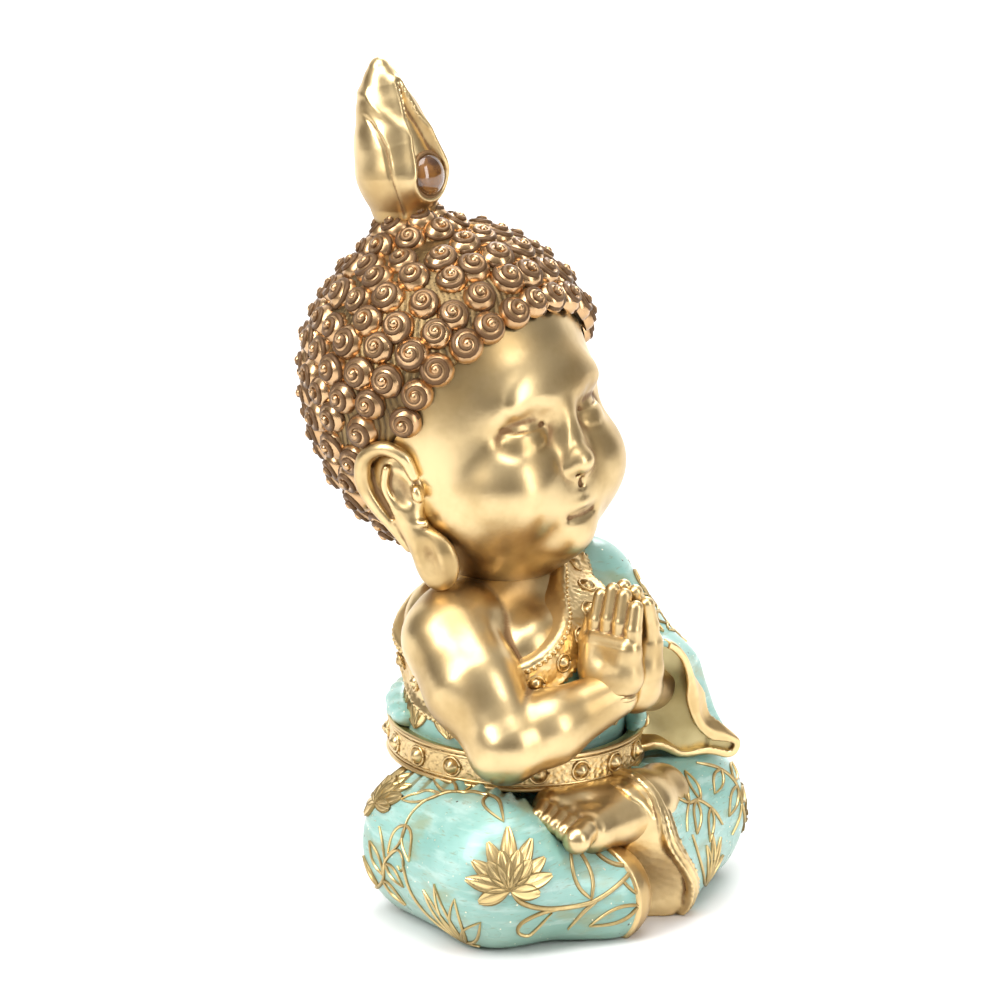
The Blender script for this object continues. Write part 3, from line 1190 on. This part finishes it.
class Motif:
    """A sheet of gold line work, laid on a surface from a plane above it. X is right and Y is up."""

    def __init__(self, tree, centre, azimuth, elevation, size, spin):
        self.tree = tree
        self.size = size
        self.copies = []
        out = np.array(toward(math.radians(azimuth), math.radians(elevation)))
        point, normal = struck(tree, np.array(centre) + out * 90, -out, 90)
        lean = frame_at(point, unit(normal + 0.35 * out))
        self.plane = lean @ placed((0, 0, 0), (0, 0, math.radians(spin)))

    def lay(self, x, y):
        """The surface point and normal under a point of the sheet."""
        start = turned(self.plane, [[x * self.size, y * self.size, 22]])[0]
        return struck(self.tree, start, -self.plane[:3, 2], 45)

    def strip(self, rows, lifts):
        """A closed ribbon through rows of sheet points, each raised by its lift."""
        lines = []
        for row in rows:
            laid = [self.lay(x, y) for x, y in row]
            ok = all(spot is not None and spot[0][2] > 0.5 for spot in laid)
            if ok and lines and np.linalg.norm(laid[0][0] - lines[-1][0]) > 3.5:
                ok = False
            if not ok:
                self.close(lines)
                lines = []
                continue
            lines.append([p + n * h for (p, n), h in zip(laid, lifts)])
        self.close(lines)

    def close(self, lines):
        """Keep a ribbon if it is long enough to show."""
        if len(lines) >= 3:
            quads = ring_quads(len(lines), len(lines[0]))
            self.copies.append((np.array(lines).reshape(-1, 3), quads, np.eye(4)))

    def vine(self, points, width=1.25, tip=0.5):
        """A half-round line through the points, thinner towards its end."""
        path = curve(points, 0.8 / self.size)
        tangent = np.gradient(path, axis=0)
        tangent /= np.maximum(np.linalg.norm(tangent, axis=1, keepdims=True), 1e-9)
        side = np.stack([tangent[:, 1], -tangent[:, 0]], 1)
        t = np.linspace(0, 1, len(path))
        half = 0.5 * (width + (tip - width) * t ** 2) * np.minimum(1, 0.3 + 8 * np.minimum(t, 1 - t))
        half = half / self.size
        rows = [[p + s * h * a for a in (1, 0.6, 0, -0.6, -1)] for p, s, h in zip(path, side, half)]
        self.strip(rows, (-0.35, 0.38, 0.58, 0.38, -0.35))

    def leaf(self, base, tip, bulge, width=1.0):
        """An open leaf: two lines that part at its base and meet at its tip."""
        base, tip = np.array(base, float), np.array(tip, float)
        side = np.array([tip[1] - base[1], base[0] - tip[0]]) / np.linalg.norm(tip - base)
        for s in (-1, 1):
            points = [base + (tip - base) * t + side * s * bulge * math.sin(math.pi * t ** 0.85)
                      for t in (0, 0.25, 0.5, 0.75, 1)]
            self.vine(points, width, 0.5)

    def petal(self, base, angle, length, width, lift=0.0):
        """A solid petal with a raised edge and a middle vein."""
        a = math.radians(angle)
        along = np.array([math.sin(a), math.cos(a)])
        side = np.array([along[1], -along[0]])
        rows = []
        for t in np.linspace(0, 1, max(8, int(length * self.size / 0.7))):
            half = width / 2 * (0.10 + 0.90 * math.sin(math.pi * min(1, t * 0.97 + 0.015) ** 1.15) ** 0.8)
            middle = np.array(base) + along * length * t
            rows.append([middle + side * half * c for c in (1, 0.88, 0.62, 0.2, 0, -0.2, -0.62, -0.88, -1)])
        edge, bed, vein = 0.62 + lift, 0.22 + lift, 0.50 + lift
        self.strip(rows, (-0.35, edge, bed, bed, vein, bed, bed, edge, -0.35))

    def lotus(self, at=(0, 0), scale=1.0, spin=0.0):
        """An open lotus: tall petals behind, and shorter ones in front and below."""
        back = ((-24, 11.5), (0, 13.5), (26, 12.0), (-52, 10.5), (52, 10.5))
        front = ((-76, 10.0), (76, 10.0), (-38, 8.0), (38, 8.0), (-12, 8.8), (14, 8.8), (-112, 7.5),
                 (102, 7.0))
        for k, (angle, length) in enumerate(back + front):
            self.petal(at, angle + spin, length * scale, 4.3 * scale, 0.35 if k >= len(back) else 0.0)

    def spray(self, side=1):
        """A stem with leaves on both sides and a curled end."""
        k = side
        self.vine([(-9 * k, -7), (-4 * k, -5), (1 * k, -1), (3 * k, 4), (8 * k, 8), (11 * k, 6),
                   (10 * k, 3.5), (8.5 * k, 4.5)])
        self.leaf((-3 * k, -4.5), (-9 * k, 1.5), 1.5)
        self.leaf((1.5 * k, 0), (-4 * k, 7), 1.7)
        self.leaf((0.5 * k, -1.5), (7 * k, -6.5), 1.6)
        self.leaf((3 * k, 3.5), (10 * k, -0.5), 1.5)
        self.vine([(3 * k, 4), (1.5 * k, 8), (-1 * k, 11)], 0.8)


def knee_vine(m):
    """The large lotus over the right knee, with its stem running on to the hem."""
    m.vine([(0, -1), (3, -4.5), (9, -6.6), (16, -6.8), (21, -5.6), (27, -2), (33, 3)], 1.7, 1.2)
    m.vine([(13, -6.8), (7, -7.6), (2.8, -9.6), (2.2, -12), (4.6, -13.2), (6.6, -11.4), (10, -7.6)], 1.3)
    m.vine([(21, -5.6), (17.5, -8.5), (14, -12.5)], 1.4)
    m.leaf((19.5, -5.5), (15, 7.5), 2.0, 1.2)
    m.leaf((31, 1.5), (18.5, 7), 2.2, 1.2)
    m.leaf((31, -8), (19, -12), 1.7, 1.2)
    m.vine([(27, -2), (30, -5), (34, -7)], 0.9)
    m.lotus((0, -1))


def thigh_spray(m):
    """The spray that falls from the belt over the right thigh."""
    m.vine([(9, 9), (3, 7), (-2, 3), (-5, -3), (-5, -8)], 1.2)
    m.leaf((2, 6), (-9, 8), 1.6)
    m.leaf((-1, 4), (-11, -1), 1.7)
    m.leaf((-5, -6), (-9.5, -13), 1.8)
    m.leaf((-5, -6), (-0.5, -13), 1.8)
    m.leaf((9, 9), (20, 4), 1.5)
    m.vine([(3, 7), (0, 12), (-4, 14)], 0.8)


def floor_leaves(m):
    """A fan of open leaves that rises from the floor on a long stem."""
    m.vine([(-13, 9), (-10, 1), (-3, -6), (7, -9)], 1.2)
    for tip in ((-4.5, 5), (0.5, 8), (7, 6), (12, 0)):
        m.leaf((3.5, -8.5), tip, 1.7, 1.1)


def left_spray(m):
    m.spray(-1)


def relief_on_legs(tree):
    return drawn(tree, (0, 5, 12), [
        (-60, 8, 1, 0, knee_vine),
        (-93, 26, 1, 0, thigh_spray),
        (-82, -4, 1, 0, floor_leaves),
        (-120, 20, 0.85, 20, Motif.lotus),
        (-112, 0, 1, 0, Motif.spray),
        (30, 18, 1, 100, Motif.spray),
        (52, 14, 1, 160, left_spray),
        (30, -2, 0.8, -10, floor_leaves),
        (66, 0, 0.85, 0, Motif.lotus),
        (84, 22, 1, 30, Motif.spray),
        (92, -4, 1, 0, floor_leaves),
        (116, 16, 0.9, -20, Motif.lotus),
        (140, 4, 1, 0, Motif.spray),
        (160, 22, 0.9, 60, left_spray),
        (178, 2, 0.95, 0, Motif.lotus),
        (-160, 18, 1, 20, Motif.spray),
        (-146, 0, 1, 0, floor_leaves),
    ])


def relief_on_sleeve(tree):
    return drawn(tree, (22, 3, 56), [
        (62, 34, 0.9, 30, Motif.spray),
        (80, 0, 0.9, -20, left_spray),
        (112, 25, 0.75, 0, Motif.lotus),
        (115, -12, 0.85, 0, Motif.spray),
        (20, 50, 0.7, 60, left_spray),
        (150, 40, 0.8, 50, Motif.spray),
    ])


def leaf_tuft(m):
    """Three broad leaves that stand on the belt."""
    for angle, length in ((-38, 7.5), (36, 8), (0, 10)):
        m.petal((0, -4), angle, length, 3.4)


def relief_on_belly(tree):
    return drawn(tree, (0, SPINE_Y, 48), [(a, 0, 1, 0, leaf_tuft) for a in range(-180, 180, 24)])


def drawn(tree, centre, motifs):
    """One mesh of the drawings at some azimuths and elevations, each with its size and spin."""
    copies = []
    for azimuth, elevation, size, spin, draw in motifs:
        motif = Motif(tree, centre, azimuth, elevation, size, spin)
        draw(motif)
        copies += motif.copies
    return scattered(copies)


# ---------- assembly ----------

def build_dress_and_body():
    """The robe, the skin and the trims up to the neck; returns the robe's surfaces."""
    legs = put("lower_robe", with_foot_pocket(), ROBE, ("lower_body",))
    put("right_hem", right_hem(), TRIM)
    put("cuff", cuff_lining(), TRIM, ("cuff_lining",))
    put("left_foot", left_foot(), SKIN)
    put("torso", torso_and_arm(), SKIN, ("torso", "right_arm"))
    put("right_hand", hand(-1), SKIN)
    put("left_hand", hand(1), SKIN)
    belly = put("robe_body", robe_body(), ROBE)
    robe, lining, rim = sleeve_parts()
    sleeve = put("left_sleeve", robe, ROBE)
    put("sleeve_lining", lining, LINING)
    put("sleeve_edge", rim, TRIM, ())
    sash = put("sash_band", sash_band(), TRIM, hollow=6)
    beads, studs, collars = sash_trims(sash)
    piece("sash_beads", *beads, TRIM, ("sash_edging",), 2)
    piece("sash_studs", *studs, SKIN, ("sash_stones",), 1)
    piece("sash_collars", *collars, TRIM, (), 1)
    put("belt_band", belt_band(), TRIM, hollow=6)
    piece("belt_cords", *belt_cords(), TRIM, hollow=2)
    studs, collars = belt_studs()
    piece("belt_studs", *studs, SKIN, ("belt_stones",), 1)
    piece("belt_collars", *collars, TRIM, (), 1)
    put("waist_fold", waist_fold(), ROBE)
    return legs, sleeve, belly


def build_head():
    """The head, the ears, the hair, and the finial with its stone."""
    put("head", head(), SKIN, matrix=HEAD)
    piece("right_ear", *ear(-1), SKIN)
    piece("left_ear", *ear(1), SKIN)
    put("hair_cap", hair_cap(), CAP, matrix=HEAD)
    put("hair_bun", hair_bun(), CAP, matrix=BUN)
    front, back = hair_curls()
    piece("hair_curls_front", *front, HAIR, ("hair_curls",), 3)
    piece("hair_curls_back", *back, HAIR, (), 3)
    piece("bun_curls", *bun_curls(), HAIR, hollow=3)
    put("finial", finial(), SKIN, matrix=FINIAL)
    stone, rim = finial_stone()
    piece("finial_stone", *stone, STONE)
    piece("finial_rim", *rim, SKIN, ())


def build_relief(legs, sleeve, belly):
    """The raised flowers and vines on each part of the robe."""
    piece("legs_relief", *relief_on_legs(legs), RELIEF, (), 2)
    piece("sleeve_relief", *relief_on_sleeve(sleeve), RELIEF, (), 2)
    piece("belly_relief", *relief_on_belly(belly), RELIEF, (), 2)


robe_surfaces = build_dress_and_body()
build_head()
build_relief(*robe_surfaces)


# ---------- steel pins kept from the frame ----------

def brushed_steel(name):
    p = Paint(name)
    lines = p.noise(400, 2, (1, 1, 0.05))
    colour = p.mix(lines, (0.42, 0.42, 0.43), (0.62, 0.62, 0.63))
    return p.set(Base_Color=colour, Metallic=1.0, Roughness=p.spread(lines, 0.3, 0.7, 0.28, 0.42),
                 Normal=p.bump(lines, 0.02 * MM, 0.5))


STEEL = brushed_steel("dowel_steel")
for node in ("waist_dowel", "neck_dowel", "finial_pin"):
    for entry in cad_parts[node].material_slots:
        entry.material = STEEL


# ---------- floor, light and camera ----------

def floor_paint():
    p = Paint("studio_white")
    cloud = p.noise(3, 2)
    colour = p.mix(p.spread(cloud, 0.3, 0.7), (0.86, 0.86, 0.86), (0.90, 0.90, 0.90))
    reach = p.node("ShaderNodeVectorMath", {0: p.place()}, operation="LENGTH").node.outputs["Value"]
    return p.set(Base_Color=colour, Roughness=p.spread(cloud, 0.3, 0.7, 0.55, 0.65),
                 Emission_Color=(1, 1, 1, 1), Emission_Strength=p.spread(reach, 0.3, 1.4, 0.0, 0.8))


def studio_floor():
    """A pale floor that curves up into a backdrop."""
    half, depth, back, high, bend = 3.0, -2.5, 2.2, 3.0, 0.6
    line = [(depth, 0.0), (back - bend, 0.0)]
    line += [(back - bend + bend * math.sin(t), bend - bend * math.cos(t))
             for t in np.linspace(0, math.pi / 2, 12)[1:]]
    line.append((back, high))
    turn = Matrix.Rotation(AZIMUTH, 3, "Z")
    verts = [turn @ Vector((x, y, z)) for y, z in line for x in (-half, half)]
    faces = [(2 * i, 2 * i + 1, 2 * i + 3, 2 * i + 2) for i in range(len(line) - 1)]
    linked("studio_floor", smooth_mesh("studio_floor", verts, faces, floor_paint()))


AZIMUTH = math.radians(-50)
ELEVATION = math.radians(15)
DISTANCE = 1.19
FIGURE_MIDDLE = (0, 0, 0.1)


def aim(obj, target):
    obj.rotation_euler = (Vector(target) - obj.location).to_track_quat("-Z", "Y").to_euler()


def studio_camera():
    out = toward(AZIMUTH, ELEVATION)
    right = (-out).cross(Vector((0, 0, 1))).normalized()
    up = right.cross(-out)
    target = -0.0145 * right + 0.0945 * up
    data = bpy.data.cameras.new("studio_camera")
    data.lens = 180
    data.sensor_width = 36
    camera = linked("studio_camera", data)
    camera.location = target + out * DISTANCE
    aim(camera, target)
    bpy.context.scene.camera = camera


def soft_light(name, azimuth, elevation, distance, size, power):
    data = bpy.data.lights.new(name, "AREA")
    data.shape = "RECTANGLE"
    data.size, data.size_y = size
    data.energy = power
    light = linked(name, data)
    light.location = toward(math.radians(azimuth), math.radians(elevation)) * distance + Vector(FIGURE_MIDDLE)
    aim(light, FIGURE_MIDDLE)


def studio_world():
    """Soft white from above, warm and dim from the sides, so that the gold has something to mirror."""
    world = bpy.data.worlds.new("studio_world")
    world.use_nodes = True
    tree = world.node_tree
    background = tree.nodes["Background"]
    place = tree.nodes.new("ShaderNodeTexCoord")
    parts = tree.nodes.new("ShaderNodeSeparateXYZ")
    ramp = tree.nodes.new("ShaderNodeValToRGB")
    ramp.color_ramp.elements[0].position = 0.05
    ramp.color_ramp.elements[0].color = (0.22, 0.17, 0.12, 1)
    ramp.color_ramp.elements[1].position = 0.75
    ramp.color_ramp.elements[1].color = (1.0, 0.98, 0.95, 1)
    tree.links.new(place.outputs["Generated"], parts.inputs[0])
    tree.links.new(parts.outputs["Z"], ramp.inputs[0])
    tree.links.new(ramp.outputs[0], background.inputs["Color"])
    background.inputs["Strength"].default_value = 0.5
    bpy.context.scene.world = world
    bpy.context.scene.view_settings.view_transform = "Standard"


studio_floor()
studio_camera()
studio_world()
soft_light("key", -100, 40, 0.9, (0.35, 0.7), 7)
soft_light("fill", 5, 20, 1.1, (0.3, 0.8), 4)
soft_light("top", -40, 80, 1.0, (0.7, 0.7), 7)
soft_light("rim", 120, 35, 1.1, (0.4, 0.7), 5)
